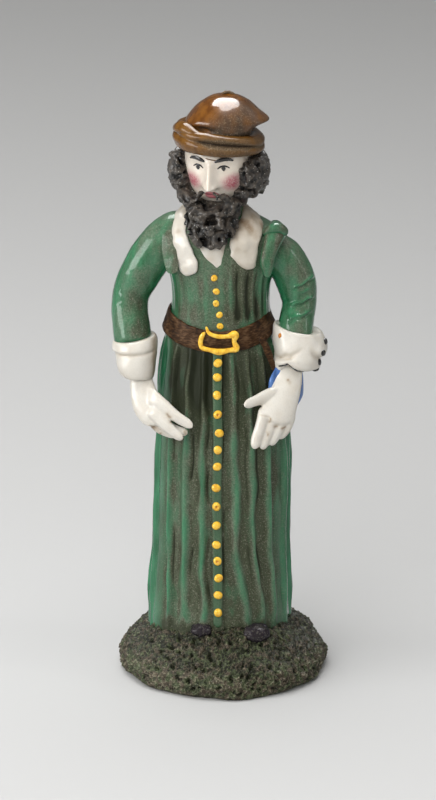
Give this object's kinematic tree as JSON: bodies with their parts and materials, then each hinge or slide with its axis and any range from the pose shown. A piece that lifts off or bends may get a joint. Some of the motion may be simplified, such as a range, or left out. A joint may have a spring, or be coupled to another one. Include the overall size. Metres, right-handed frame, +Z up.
{
  "type": "lampworked glass figurine",
  "caption": "Small opaque glass figure of a bearded man in a long green belted robe, white collar and cuffs and brown cap, on a mound of crushed glass.",
  "frame": {"origin": "centre of the mound's flat underside, on the surface the figurine stands on", "axes": "+Z up the figure, -Y the way its body faces, +X towards the viewer's right, which is the figure's left"},
  "size_m": [0.0397, 0.0387, 0.11],
  "materials": {
    "mound_glass": "rough",
    "green_glass": "gloss",
    "pale_green_glass": "satin",
    "violet_glass": "satin",
    "brown_glass": "matte",
    "yellow_glass": "gloss",
    "blue_glass": "satin",
    "white_glass": "gloss",
    "face_glass": "gloss",
    "black_hair_glass": "rough",
    "amber_glass": "gloss",
    "black_glass": "gloss"
  },
  "bodies": {
    "root": {"mound": "mound_glass", "right_shoe": "violet_glass", "left_shoe": "violet_glass", "robe": "green_glass", "button_band": "pale_green_glass", "belt": "brown_glass", "buckle": "yellow_glass", "purse_strap": "brown_glass", "purse": "blue_glass", "shirt_front": "white_glass", "collar": "white_glass", "right_sleeve": "green_glass", "left_sleeve": "green_glass", "right_cuff": "white_glass", "left_cuff": "white_glass", "right_hand": "white_glass", "left_hand": "white_glass", "head": "face_glass", "beard": "black_hair_glass", "hair": "black_hair_glass", "cap_band": "amber_glass", "cap_crown": "amber_glass", "chest_button_1": "yellow_glass", "chest_button_2": "yellow_glass", "chest_button_3": "yellow_glass", "chest_button_4": "yellow_glass", "chest_button_5": "yellow_glass", "skirt_button_1": "yellow_glass", "skirt_button_2": "yellow_glass", "skirt_button_3": "yellow_glass", "skirt_button_4": "yellow_glass", "skirt_button_5": "yellow_glass", "skirt_button_6": "yellow_glass", "skirt_button_7": "yellow_glass", "skirt_button_8": "yellow_glass", "skirt_button_9": "yellow_glass", "skirt_button_10": "yellow_glass", "skirt_button_11": "yellow_glass", "skirt_button_12": "yellow_glass", "skirt_button_13": "yellow_glass", "skirt_button_14": "yellow_glass", "skirt_button_15": "yellow_glass", "cuff_button_1": "black_glass", "cuff_button_2": "black_glass", "cuff_button_3": "black_glass", "cuff_button_4": "black_glass"}
  },
  "joints": []
}
